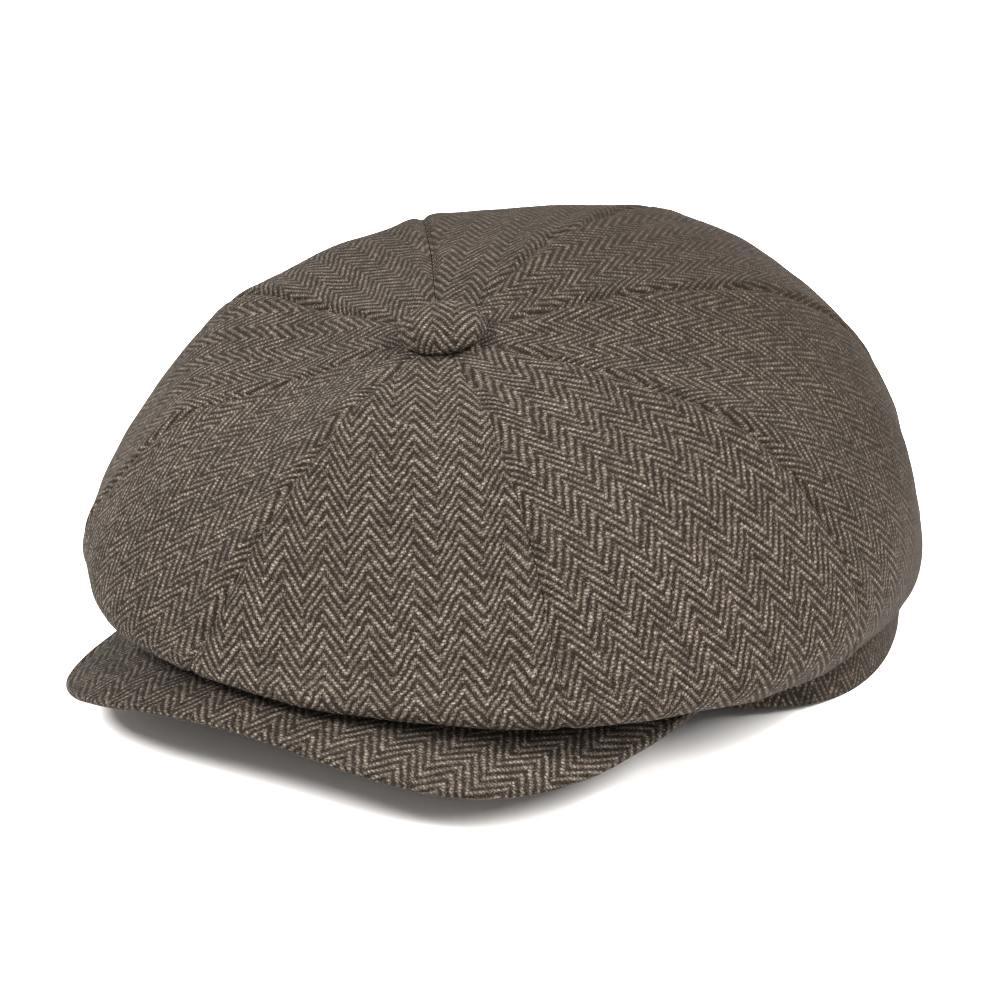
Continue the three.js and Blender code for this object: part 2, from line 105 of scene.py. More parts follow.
LINING_SIZE = np.array([0.8, 0.82, 0.9, 0.92, 0.92, 0.92, 0.92, 0.84])
LINING_WIDEST_HEIGHT = np.array([44, 44, 43, 50, 54, 50, 45, 47]) * MM
LINING_SHOULDER = 0.85
LINING_DROP = 5 * MM
LINING_SHOULDER_DROP = 4.5 * MM
LINING_ENTRY_HEIGHT = 6 * MM
LINING_BEND = 0.6
LINING_CROWDING = 0.6
LINING_SEAM_DEPTH = 0.5 * LINING_CLOTH

BAND_HALF_LENGTH = 101 * MM
BAND_HALF_WIDTH = 83.5 * MM
BAND_CLOTH = 1.4 * MM
INTERLINING = 0.8 * MM
SWEATBAND = 1.0 * MM
LAYER_GAP = 0.3 * MM
BAND_TOP = np.array([46, 38, 23, 12, 15, 20, 28, 38]) * MM
BAND_FRONT_LIFT = 25 * MM      # the peak carries the front of the band
BAND_LIFT_ENDS = 108 * DEGREE  # behind this the band stands on the floor
BAND_LIFT_SKEW = 17 * DEGREE   # sooner on the wearer's left than on the right
BAND_SLUMP = 5.5 * MM          # on the left its lower edge slumps outwards
BAND_SLUMP_AT = 84 * DEGREE
BAND_SLUMP_WIDTH = 24 * DEGREE
BAND_HALF_JOIN = 0.25 * MM     # half the gap where a ring's ends meet, at the back
BAND_EDGE_THINNING = 0.55      # how much thinner a band is along its rounded edges
BAND_RIPPLE = 0.25 * MM
SWEATBAND_RIPPLE = 0.1 * MM
BAND_RIPPLE_SIZE = 22 * MM
INNER_RING_INSET = 2 * MM
SWEATBAND_INSET = BAND_CLOTH + INTERLINING + 2 * LAYER_GAP

PEAK_HALF_WIDTH = 83.3 * MM
PEAK_SHIFT = -1.5 * MM         # the peak lies a little off centre
PEAK_ENDS_AT = -40 * MM
PEAK_FRONT_AT = -156 * MM
PEAK_DEPTH = PEAK_ENDS_AT - PEAK_FRONT_AT
PEAK_SQUARENESS = 3.5
PEAK_FRONT_HEIGHT = 19.5 * MM
PEAK_SLOPE = 0.16
PEAK_ARCH = 17.4 * MM          # drop of the peak's edge at PEAK_ARCH_AT
PEAK_ARCH_AT = 80 * MM
PEAK_ROOT_ABOVE_BAND = 3.2 * MM
PEAK_ROOT_GAP = 0.5 * MM
PEAK_END_STARTS = 0.7          # past this share of a side it runs into the root
PEAK_ROOT_END = math.acos(-PEAK_ENDS_AT / BAND_HALF_LENGTH)
PEAK_CAMBER = 0.8 * MM
PEAK_CLOTH = 1.1 * MM
STIFFENER = 1.0 * MM
PEAK_HALF_THICKNESS = STIFFENER / 2 + LAYER_GAP + PEAK_CLOTH

BUTTON_RADIUS = 11.7 * MM
BUTTON_HEIGHT = 5.2 * MM
BUTTON_CLOTH = 0.9 * MM
BUTTON_TURN_UNDER = 3.2 * MM
BUTTON_GAP = 0.5 * MM
BUTTON_LIFT = CLOTH / 2 + BUTTON_CLOTH + BUTTON_GAP
BUTTON_GRAIN = -35             # how its cloth is turned, in degrees
BUTTON_SHIFT = 2.0             # and shifted, in mm
BUTTON_DOME = (0.8, 0.9)       # powers that square off the dome, across and upwards
BUTTON_GATHERS = 14
BUTTON_GATHER_DEPTH = 0.02     # share of the radius
BUTTON_GATHER_REACH = 1.5      # in thicknesses of the button's cloth
# The edge turned in under the button, outwards: share of the radius, and depth in thicknesses.
BUTTON_TURNED_IN = np.array([
    [1 - BUTTON_TURN_UNDER / BUTTON_RADIUS, -2],
    [0.84, -1.75],
    [0.92, -1.1],
    [0.98, -0.35],
])

# How the sewn cloth behaves.
SEAM_DEPTH = 1.2 * MM          # a panel's edge rolls down into the seam
SEAM_WIDTH = 1.3 * MM
SEAM_IN_ROLL = 0.3             # share of that depth left round the lower roll
ROLL_STARTS = 0.55             # share of a panel's length
ROLL_BLEND = 0.12
SEAM_AT_BUTTON = 0.1           # share of that depth left under the button
BUTTON_BLEND = 0.13
SEAM_SWELL = 0.25 * MM         # and the cloth stands up beside it, over the seam allowance
SWELL_AT = 4.5 * MM
SWELL_WIDTH = 2.5 * MM
PUCKER = 0.5 * MM
PUCKER_REACH = 6 * MM
PUCKER_SIZE = 9 * MM
RIPPLE = 0.35 * MM
RIPPLE_SIZE = 16 * MM
DENT = 1.3 * MM
DENT_SIZE = 45 * MM
INNER_FOLLOWS = 0.4            # share of that which the cloth's inner face follows
HELD_AT_BAND = 0.05            # share of a panel's length that its seam to the band holds still
LINING_CREASE = 0.8 * MM
PEAK_RIPPLE = 0.3 * MM
PEAK_RIM_TAPER = 9 * MM        # the stiffener stops short, so the covers meet at the rim
PEAK_RIM_RADIUS = PEAK_CLOTH + 0.05 * MM
STIFFENER_INSET = 0.1          # share of the peak's depth
INSET_TO_ENDS = 3              # how many times less it is inset at the peak's ends
# The angles at which a cover starts and ends as it turns round the peak's rim: a quarter turn is
# straight up, and 0 is the outermost line.
TOP_RIM_TURN = (math.pi / 2, -0.5)
UNDER_RIM_TURN = (-math.pi / 2, -0.55)
ROLL_SOFTENING = 4.5 * MM      # how far the crown's lower roll is rounded off
ROLL_ENDS_AT = 9 * MM          # and how close to its sewn edge
ROLL_SHARE = 0.62              # it starts at this share of the length, from that edge
ROLL_FADE = 20 * MM            # and builds up over this distance

# Points of each grid, across and along, and the noise that each unevenness reads.
CROWN_GRID = (45, 181)
LINING_GRID = (21, 71)
BAND_GRID = (241, 15)
PEAK_GRID = (161, 61)
PEAK_RIM_ROWS = 13
BUTTON_GRID = (96, 22)
SEEDS = {"pucker": 1, "ripple": 2, "dent": 3, "lining": 5, "peak": 6, "band": 7, "sweatband": 8}
SEED_SHIFT = (7.3, 3.1, 5.7)   # how far apart two seeds' noises lie
SHARP_ANGLE = 50 * DEGREE

# The weave, in millimetres, as the cloth's own coordinates are.
ENDS_PER_COLUMN = 10           # warp yarns in one herringbone column
WARP_PITCH = 0.56
WEFT_PITCH = 0.84
TWILL_REPEAT = 4               # yarns in a 2/2 twill: two over, two under
FIRST_PANEL_GRAIN = 9          # degrees that the first panel's cloth is turned

# The tweed's colours, as linear light.
DARK_YARN = (0.0088, 0.0061, 0.0041)
DARK_FLECK = (0.0022, 0.0014, 0.0009)
LIGHT_YARN = (0.0265, 0.0207, 0.0158)
LIGHT_FLECK = (0.076, 0.0635, 0.0515)
HAZE = (0.0225, 0.0172, 0.0128)

# Its noises: size in mm, detail and roughness. Most of a noise's values lie in NOISE_RANGE.
NOISE_RANGE = (0.3, 0.7)
WANDER = (9.0, 2.0)
DRIFT = (34.0, 1.0)
JITTER = (2.2, 2.0)
FIBRES = (0.22, 2.0, 0.6)
GRAIN = (0.55, 3.0, 0.7)
PATCHES = (26.0, 3.0, 0.6)
LOOSE_FIBRES = (0.9, 4.0, 0.75)
BROAD_TONE = (60.0, 2.0)
BLOTCHES = (4.0, 3.0, 0.6)

# How far they push the weave about, in mm.
JITTER_ACROSS = 0.9
JITTER_ALONG = 1.1
WANDER_ALONG = 0.8
DRIFT_ALONG = 3.0

# How they shade it: from their low values to their high ones.
FIBRE_STRETCH = 0.35           # fibres are drawn out along their yarn
FLOAT_SHADE = (0.55, 0.8)      # each light float's least share, and what chance adds to it
# Painted shade darkens each light yarn at its sides, and painted highlight lightens it along its crown.
CROWN_RANGE = (0.1, 0.85)      # a yarn is darker at its sides than along its crown
CROWN_HIGHLIGHT_AND_SIDE_SHADE = (0.5, 1.5)
DARK_FIBRES = (0.5, 0.3)
PALE_FIBRES = (0.52, 0.75)     # stray light fibres in the dark yarn
PALE_SHARE = 0.4
STROKE_FIBRES = 2.6            # how much fibres and grain roughen the light strokes' edges
STROKE_GRAIN = 3.4
STROKE_RANGE = (-0.6, 0.4)
GRAIN_SHADE = (0.5, 1.6)
HAZE_RANGE = (0.35, 0.75)
PATCH_HAZE = (0.35, 1.0)
HAZE_FIBRES = (0.2, 0.8)
HAZE_SHADE = (0.7, 1.35)
BROAD_SHADE = (0.93, 1.07)
BLOTCH_SHADE = (0.78, 1.22)
WARP_SUNK = 0.8                # the warp's relief beside the weft's
HAZE_FLATTENS = 0.6
FIBRE_RELIEF = 0.35
TWEED_RELIEF = 0.22 * MM

# Towards the back the cloth's colour is darkened, a painted shade for the dimmer top and back, and
# towards the front its haze is thinner, worn smoother: from where to where, in mm along Y.
BACK_SHADE_AND_FELT_FROM = (-85.0, 40.0)
BACK_PAINTED_SHADE = (0.61, 0.565, 0.52)  # tone at the back
MATTED_FROM = (-30.0, 60.0)    # and further back the haze closes over the weave
MATTED = 0.6
FELTED = (0.35, 0.9)           # haze of loose fibres, at the front and at the back

# The other materials: a dark and a light colour each. The woven ones mix them by yarn height, as painted
# shade in the dips and painted highlight on the yarns' tops.
SATIN = ((0.018, 0.014, 0.012), (0.05, 0.042, 0.036))
CANVAS = ((0.30, 0.26, 0.2), (0.55, 0.5, 0.42))
COTTON = ((0.008, 0.007, 0.006), (0.035, 0.03, 0.026))
BOARD = ((0.62, 0.61, 0.58), (0.7, 0.69, 0.66))
METAL = ((0.45, 0.45, 0.44), (0.62, 0.62, 0.61))
THREAD = ((0.02, 0.016, 0.013), (0.07, 0.06, 0.05))
FLOOR = ((0.91, 0.88, 0.855), (0.94, 0.91, 0.885))
YARN_WANDER = (4.0, 2.0)
YARN_MOTTLE = (1.2, 3.0)
TAPE_MOTTLE = (6.0, 4.0)
FLOOR_MOTTLE = (300.0, 2.0)
FLECK = 0.25
HARD_RELIEF = 0.02 * MM
TAPE_RELIEF = 0.08 * MM

# The studio, in metres and watts.
LOOK_AT = Vector((-18.5, -13.6, 35.4)) * MM
CAMERA_AZIMUTH = 35.0 * DEGREE
CAMERA_ELEVATION = 18.1 * DEGREE
CAMERA_DISTANCE = 0.9
CAMERA_SENSOR = 36             # mm, as its focal length is
CAMERA_LENS = 117.25
CAMERA_SEES = (0.01, 50)       # nearest and farthest
FLOOR_HALF_SIZE = 6.0
WORLD_LIGHT = 1.08
LAMPS = [
    ("behind", (0.8, 0.7, 1.2), (0.4, 0.4), 52.0),
    ("front_left", (-0.68, -1.2, 1.3), (0.6, 0.6), 77.0),
    ("front_right", (1.35, -0.45, 1.2), (0.8, 0.8), 42.0),
]

# -------- small helpers


def mix(a, b, share):
    return a + (b - a) * share


def smooth(value):
    t = np.clip(value, 0, 1)
    return t * t * (3 - 2 * t)


def unit(vectors):
    return vectors / np.linalg.norm(vectors, axis=-1, keepdims=True)


def around(values, angle):
    """A smooth closed curve through eight values, read at angles from the front."""
    place = np.mod(np.asarray(angle, float) / TURN * DIRECTIONS, DIRECTIONS)
    first = np.floor(place).astype(int)
    t = place - first
    a, b, c, d = (np.take(values, first + step, mode="wrap") for step in (-1, 0, 1, 2))
    return b + 0.5 * t * (c - a + t * (2 * a - 5 * b + 4 * c - d + t * (3 * b - a - 3 * c + d)))


def rough(points, size, seed):
    """Smooth noise about zero at each point, with features of a given size."""
    shift = Vector([seed * part for part in SEED_SHIFT])
    values = [
        noise.fractal(Vector(point) / size + shift, 1.0, 2.0, 2)
        for point in points.reshape(-1, 3)
    ]
    return np.array(values).reshape(points.shape[:-1])


def grid_normals(points):
    """Unit normals of a grid of points, from its neighbours: along x across."""
    across = np.gradient(points, axis=0)
    along = np.gradient(points, axis=1)
    return unit(np.cross(along, across))


# -------- making meshes


def new_mesh(name, points, faces, weave=None):
    """A smooth mesh object from points and faces, with the cloth's own coordinates in millimetres."""
    mesh = bpy.data.meshes.new(name)
    mesh.from_pydata([tuple(point) for point in points], [], [tuple(face) for face in faces])
    mesh.validate()
    if weave is not None:
        layer = mesh.uv_layers.new(name="weave")
        corners = np.empty(len(mesh.loops), dtype=np.int32)
        mesh.loops.foreach_get("vertex_index", corners)
        layer.data.foreach_set("uv", np.asarray(weave, np.float32)[corners].ravel())
    mesh.shade_smooth()
    mesh.set_sharp_from_angle(angle=SHARP_ANGLE)
    piece = bpy.data.objects.new(name, mesh)
    bpy.context.scene.collection.objects.link(piece)
    return piece


def grid_faces(columns, rows, offset, flipped):
    """Faces of a grid of points kept column by column. They look towards (along x across)."""
    column, row = np.meshgrid(np.arange(columns - 1), np.arange(rows - 1), indexing="ij")
    a = (offset + column * rows + row).ravel()
    quads = np.stack([a, a + 1, a + rows + 1, a + rows], axis=1)
    return quads[:, ::-1] if flipped else quads


def rim_faces(columns, rows):
    """Faces that join the outer grid to the inner grid, round all four sides."""
    step = columns * rows
    loop = (
        [column * rows for column in range(columns)]
        + [(columns - 1) * rows + row for row in range(1, rows)]
        + [column * rows + rows - 1 for column in range(columns - 2, -1, -1)]
        + [row for row in range(rows - 2, 0, -1)]
    )
    return [(a, b, b + step, a + step) for a, b in zip(loop, loop[1:] + loop[:1])]


def closed_sheet(name, outer, inner, weave):
    """A closed sheet of cloth between two grids of points, and its weave coordinates."""
    columns, rows = outer.shape[:2]
    faces = np.concatenate([
        grid_faces(columns, rows, 0, False),
        grid_faces(columns, rows, columns * rows, True),
        rim_faces(columns, rows),
    ])
    points = np.concatenate([outer.reshape(-1, 3), inner.reshape(-1, 3)])
    flat = weave.reshape(-1, 2)
    return new_mesh(name, points, faces, np.concatenate([flat, flat]))


def cloth_coordinates(points):
    """Where each point of a grid lies on the flat cloth, in mm: across and along its middle column."""
    columns = points.shape[0]
    middle = columns // 2
    across = np.linalg.norm(np.diff(points, axis=0), axis=2)
    u = np.concatenate([np.zeros((1, points.shape[1])), np.cumsum(across, axis=0)])
    u -= u[middle]
    along = np.linalg.norm(np.diff(points[middle], axis=0), axis=1)
    v = np.concatenate([[0], np.cumsum(along)])
    return np.stack([u, np.broadcast_to(v, u.shape)], axis=2) / MM


# -------- headband


def band_slump(angle, height):
    """How far the band leans out from its oval at a height."""
    from_middle = np.arctan2(np.sin(angle - BAND_SLUMP_AT), np.cos(angle - BAND_SLUMP_AT))
    below_top = np.maximum(0, 1 - height / band_top(angle))
    return BAND_SLUMP * below_top * np.exp(-(from_middle / BAND_SLUMP_WIDTH) ** 2)


def band_point(angle, outwards, height):
    """A point on the band's outer face, moved straight out by a distance."""
    angle = np.asarray(angle, float)
    away = unit(np.stack([np.sin(angle) / BAND_HALF_WIDTH, -np.cos(angle) / BAND_HALF_LENGTH], axis=-1))
    reach = outwards + band_slump(angle, height)
    x = BAND_HALF_WIDTH * np.sin(angle) + away[..., 0] * reach
    y = -BAND_HALF_LENGTH * np.cos(angle) + away[..., 1] * reach
    return np.stack(np.broadcast_arrays(x, y, height), axis=-1)


def band_bottom(angle):
    """The height of the band's lower edge: lifted at the front, and on the floor behind."""
    from_front = np.abs(np.arctan2(np.sin(angle), np.cos(angle)))
    ends = BAND_LIFT_ENDS - BAND_LIFT_SKEW * np.sin(angle)
    return BAND_FRONT_LIFT * smooth(1 - from_front / ends)


def band_top(angle):
    """The height of the band's upper edge."""
    return around(BAND_TOP, angle)


def band_ring(name, inset, thickness, shorter, ripple, seed):
    """A ring of the headband, joined at the back, with softly rounded edges."""
    columns, rows = BAND_GRID
    join = BAND_HALF_JOIN / BAND_HALF_WIDTH
    angle = np.linspace(math.pi + join, 3 * math.pi - join, columns)[:, None]
    along = np.linspace(0, 1, rows)[None, :]
    height = mix(band_top(angle) - shorter, band_bottom(angle) + shorter, along)
    edge = 1 - np.minimum(1, np.minimum(along, 1 - along) * (rows - 1) / 2)
    centre = -inset - thickness / 2
    wave = ripple * rough(band_point(angle, centre, height), BAND_RIPPLE_SIZE, seed)
    half = thickness / 2 * (1 - BAND_EDGE_THINNING * edge ** 2)
    angle = angle + 0 * along
    outer = band_point(angle, centre + half + wave, height)
    inner = band_point(angle, centre - half + wave, height)
    return closed_sheet(name, outer, inner, cloth_coordinates(outer))


# -------- crown


def crown_ring(angle, share, heights):
    """Points at a share of the way from the apex to the crown's widest line."""
    reach = around(CROWN_REACH, angle)
    x = mix(APEX[0], CROWN_CENTRE[0] + reach * np.sin(angle), share)
    y = mix(APEX[1], CROWN_CENTRE[1] - reach * np.cos(angle), share)
    return np.stack([x, y, around(heights, angle)], axis=-1)


def on_oval(angle, outwards, height, from_band_top):
    """Where a line from the crown's centre meets the band's oval, moved outwards by a distance."""
    way = np.stack([np.sin(angle), -np.cos(angle)], axis=-1)
    radii = np.stack([BAND_HALF_WIDTH + outwards, BAND_HALF_LENGTH + outwards], axis=-1)
    radii = np.broadcast_to(radii, way.shape)
    start = CROWN_CENTRE / radii
    scaled = way / radii
    a = (scaled ** 2).sum(-1)
    b = (start * scaled).sum(-1)
    c = (start ** 2).sum(-1) - 1
    reach = (-b + np.sqrt(b ** 2 - a * c)) / a
    x, y = (CROWN_CENTRE[axis] + reach * way[..., axis] for axis in (0, 1))
    if from_band_top:
        height = height + band_top(np.arctan2(x / BAND_HALF_WIDTH, -y / BAND_HALF_LENGTH))
    return np.stack([x, y, height + 0 * x], axis=-1)


def crown_rings(angle):
    """The rings of the tweed crown, from the apex round the roll to the top edge of the band."""
    overhang = around(ROLL_OVERHANG, angle)
    roll = around(ROLL_HEIGHT, angle)
    radius = around(ROLL_RADIUS, angle)
    return np.stack([
        np.broadcast_to(APEX, angle.shape + (3,)),
        crown_ring(angle, TOP_SHARE, TOP_HEIGHT),
        crown_ring(angle, SHOULDER_SHARE, SHOULDER_HEIGHT),
        crown_ring(angle, 1, WIDEST_HEIGHT),
        on_oval(angle, overhang + radius, roll + radius, False),
        on_oval(angle, overhang, roll, False),
        on_oval(angle, overhang - radius, roll + around(TUCK_RISE, angle), False),
        on_oval(angle, around(KNEE_OVERHANG, angle), CLOTH, True),
        on_oval(angle, -BAND_CLOTH / 2 + 0 * angle, CLOTH / 2 + TURNED_GAP, True),
    ])


def lining_rings(angle):
    """The rings of the satin lining, a smaller bag that hangs from the sweatband's top edge."""
    size = around(LINING_SIZE, angle)
    upper = crown_ring(angle, TOP_SHARE, TOP_HEIGHT)
    shoulder = crown_ring(angle, LINING_SHOULDER * size, SHOULDER_HEIGHT)
    place = (LINING_SHOULDER * size - TOP_SHARE) / (SHOULDER_SHARE - TOP_SHARE)
    shoulder[..., 2] = mix(upper[..., 2], shoulder[..., 2], place) - LINING_SHOULDER_DROP
    upper[..., 2] -= LINING_DROP
    inside = -SWEATBAND_INSET + 0 * angle
    return np.stack([
        np.broadcast_to(APEX - np.array([0, 0, LINING_DROP]), angle.shape + (3,)),
        upper,
        shoulder,
        crown_ring(angle, size, LINING_WIDEST_HEIGHT),
        on_oval(angle, inside, LINING_ENTRY_HEIGHT, True),
        on_oval(angle, inside - SWEATBAND / 2, TURNED_GAP - INNER_RING_INSET, True),
    ])


def ring_places(rings):
    """How far along the cloth each ring lies, averaged over the eight directions."""
    line = rings(np.arange(DIRECTIONS) / DIRECTIONS * TURN)
    steps = np.linalg.norm(np.diff(line, axis=0), axis=2).mean(axis=1)
    places = np.concatenate([[0], np.cumsum(steps)])
    return places / places[-1]


def ring_surface(rings, places):
    """A smooth surface through a set of rings: points for angles and shares of the length."""
    last = len(places) - 1
    steps = np.diff(places)

    def at(angle, along):
        angle, along = np.broadcast_arrays(np.asarray(angle, float), np.asarray(along, float))
        line = rings(angle)
        speed = np.diff(line, axis=0) / steps.reshape(-1, *[1] * (line.ndim - 1))
        run = np.linalg.norm(speed[0][..., :2], axis=-1)
        rise = APEX_SLOPE[0] * np.sin(angle) - APEX_SLOPE[1] * np.cos(angle)
        tangents = [np.stack([run * np.sin(angle), -run * np.cos(angle), run * rise], axis=-1)]
        for ring in range(1, last):
            share = steps[ring] / (steps[ring] + steps[ring - 1])
            tangents.append(mix(speed[ring], speed[ring - 1], share))
        tangents.append(speed[last - 1])
        tangents = np.stack(tangents)
        ring = np.searchsorted(places[1:last], along, side="left")
        span = steps[ring][..., None]
        t = (along[..., None] - places[ring][..., None]) / span
        pick = ring[None, ..., None]
        start, end = (np.take_along_axis(line, pick + step, axis=0)[0] for step in (0, 1))
        leave, arrive = (np.take_along_axis(tangents, pick + step, axis=0)[0] for step in (0, 1))
        return (
            (2 * t ** 3 - 3 * t ** 2 + 1) * start
            + (t ** 3 - 2 * t ** 2 + t) * span * leave
            + (3 * t ** 2 - 2 * t ** 3) * end
            + (t ** 3 - t ** 2) * span * arrive
        )

    return at


def paneled_surface(rings, places, sag):
    """The surface with each panel sagging a little between its two seams."""
    surface = ring_surface(rings, places)
    middle = np.array([*CROWN_CENTRE, WIDEST_HEIGHT[0]])

    def at(angle, along):
        points = surface(angle, along)
        in_panel = np.mod(angle / TURN * PANELS, 1)
        across = 4 * in_panel * (1 - in_panel)
        depth = sag * across * np.sin(math.pi * np.minimum(1, along / SAG_ENDS))
        return points + unit(middle - points) * depth[..., None]

    return at


CROWN_PLACES = ring_places(crown_rings)
CROWN_SURFACE = paneled_surface(crown_rings, CROWN_PLACES, PANEL_SAG)
LINING_SURFACE = ring_surface(lining_rings, ring_places(lining_rings))


def panel_grid(surface, panel, bend, grid, crowding):
    """Points of one panel between two seams, closer together near the seams.

    Half of its rows lie on the dome, up to the share of the length called bend.
    """
    columns, rows = grid
    even = np.linspace(0, 1, columns)
    across = mix(even, 0.5 - 0.5 * np.cos(math.pi * even), crowding)[:, None]
    along = np.linspace(0, 1, rows)
    dome = mix(PANEL_TIP, bend, along * 2)
    below = mix(bend, 1, along * 2 - 1)
    place = np.where(along < 0.5, dome, below)[None, :]
    middle = np.full_like(place, (panel + 0.5) / PANELS * TURN)
    moved = surface(middle + ANGLE_STEP, place) - surface(middle - ANGLE_STEP, place)
    per_angle = np.linalg.norm(moved, axis=-1) / (2 * ANGLE_STEP)
    margin = SEAM_GAP / 2 / per_angle
    first = panel / PANELS * TURN + margin
    last = (panel + 1) / PANELS * TURN - margin
    return surface(mix(first, last, across), place + 0 * across)


def even_rows(points):
    """The same grid with its rows evenly spaced along the cloth, column by column."""
    rows = points.shape[1]
    spaced = np.empty_like(points)
    for column, line in enumerate(points):
        lengths = np.concatenate([[0], np.cumsum(np.linalg.norm(np.diff(line, axis=0), axis=1))])
        even = np.linspace(0, lengths[-1], rows)
        for axis in range(3):
            spaced[column, :, axis] = np.interp(even, lengths, line[:, axis])
    return spaced


def soften_roll(points):
    """Rounds off the tight roll under the widest ring, leaving the dome and the sewn edge alone."""
    rows = points.shape[1]
    pitch = np.linalg.norm(np.diff(points, axis=1), axis=2).mean()
    to_edge = np.arange(rows - 2, 0, -1) * pitch
    below_dome = smooth((ROLL_SHARE * rows * pitch - to_edge) / ROLL_FADE)
    strength = (below_dome * smooth(to_edge / ROLL_ENDS_AT))[None, :, None]
    for _ in range(round(2 * (ROLL_SOFTENING / pitch) ** 2)):
        average = (points[:, :-2] + points[:, 2:]) / 2
        points[:, 1:-1] += 0.5 * strength * (average - points[:, 1:-1])
    return points


def turn_cloth(weave, degrees, shift):
    """Turns the cloth under a piece, and shifts it across, in mm."""
    angle = degrees * DEGREE
    u = weave[..., 0] * math.cos(angle) - weave[..., 1] * math.sin(angle) + shift
    v = weave[..., 0] * math.sin(angle) + weave[..., 1] * math.cos(angle)
    return np.stack([u, v], axis=-1)


def side_distance(points):
    """How far each point of a grid lies from the nearer of its two side seams."""
    across = np.linalg.norm(np.diff(points, axis=0), axis=2)
    from_first = np.concatenate([np.zeros((1, points.shape[1])), np.cumsum(across, axis=0)])
    return np.minimum(from_first, from_first[-1:] - from_first)


def crown_panel(panel):
    """One tweed panel: its sides roll down into seams that pucker, and the cloth ripples softly."""
    bend = CROWN_PLACES[CROWN_WIDEST_RING]
    points = panel_grid(CROWN_SURFACE, panel, bend, CROWN_GRID, CROWN_CROWDING)
    points = soften_roll(even_rows(points))
    normals = grid_normals(points)
    from_seam = side_distance(points)
    place = np.linspace(0, 1, CROWN_GRID[1])
    open_seam = mix(1, SEAM_IN_ROLL, smooth((place - ROLL_STARTS) / ROLL_BLEND))
    open_seam *= mix(SEAM_AT_BUTTON, 1, smooth(place / BUTTON_BLEND))
    groove = -SEAM_DEPTH * open_seam * np.exp(-(from_seam / SEAM_WIDTH) ** 2)
    swell = SEAM_SWELL * np.exp(-((from_seam - SWELL_AT) / SWELL_WIDTH) ** 2)
    pucker = PUCKER * np.exp(-from_seam / PUCKER_REACH) * rough(points, PUCKER_SIZE, SEEDS["pucker"])
    ripple = RIPPLE * rough(points, RIPPLE_SIZE, SEEDS["ripple"])
    dent = DENT * rough(points, DENT_SIZE, SEEDS["dent"])
    free = smooth((1 - place) / HELD_AT_BAND)
    lift = ((groove + swell + pucker + ripple + dent) * free)[..., None] * normals
    outer = points + normals * CLOTH / 2 + lift
    inner = points - normals * CLOTH / 2 + lift * INNER_FOLLOWS
    weave = turn_cloth(cloth_coordinates(outer), FIRST_PANEL_GRAIN if panel == 0 else 0, 0)
    return closed_sheet(f"crown_panel_{panel + 1}_cloth", outer, inner, weave)


def lining_panel(panel):
    """One satin panel of the lining, with soft creases."""
    points = panel_grid(LINING_SURFACE, panel, LINING_BEND, LINING_GRID, LINING_CROWDING)
    normals = grid_normals(points)
    from_seam = side_distance(points)
    groove = -LINING_SEAM_DEPTH * np.exp(-(from_seam / SEAM_WIDTH) ** 2)
    crease = LINING_CREASE * rough(points, DENT_SIZE, SEEDS["lining"])
    lift = (groove + crease)[..., None] * normals
    outer = points + normals * LINING_CLOTH / 2 + lift
    inner = points - normals * LINING_CLOTH / 2 + lift
    return closed_sheet(f"lining_panel_{panel + 1}_cloth", outer, inner, cloth_coordinates(points))


# -------- peak


def peak_root(side):
    """The line along which the peak is sewn to the band. A side runs from -1 to 1."""
    angle = side * PEAK_ROOT_END
    return band_point(angle, PEAK_ROOT_GAP, band_bottom(angle) + PEAK_ROOT_ABOVE_BAND)


def peak_edge(side):
    """The peak's outer edge: a squared-off half oval, arched across and higher towards the root."""
    angle = side * math.pi / 2
    widths = (np.abs(np.sin(angle)) / PEAK_HALF_WIDTH) ** PEAK_SQUARENESS
    depths = (np.abs(np.cos(angle)) / PEAK_DEPTH) ** PEAK_SQUARENESS
    reach = (widths + depths) ** (-1 / PEAK_SQUARENESS)
    x = PEAK_SHIFT + reach * np.sin(angle)
    y = PEAK_ENDS_AT - reach * np.cos(angle)
    free = PEAK_FRONT_HEIGHT + PEAK_SLOPE * (y - PEAK_FRONT_AT)
    free = free - PEAK_ARCH * (x / PEAK_ARCH_AT) ** 2
    end = smooth((np.abs(side) - PEAK_END_STARTS) / (1 - PEAK_END_STARTS))
    return np.stack([x, y, mix(free, peak_root(side)[..., 2], end)], axis=-1)


def peak_surface(side, along):
    """The peak's middle surface, from its root out to its edge."""
    points = mix(peak_root(side), peak_edge(side), along[..., None])
    points[..., 2] += PEAK_CAMBER * np.sin(math.pi * along)
    return points


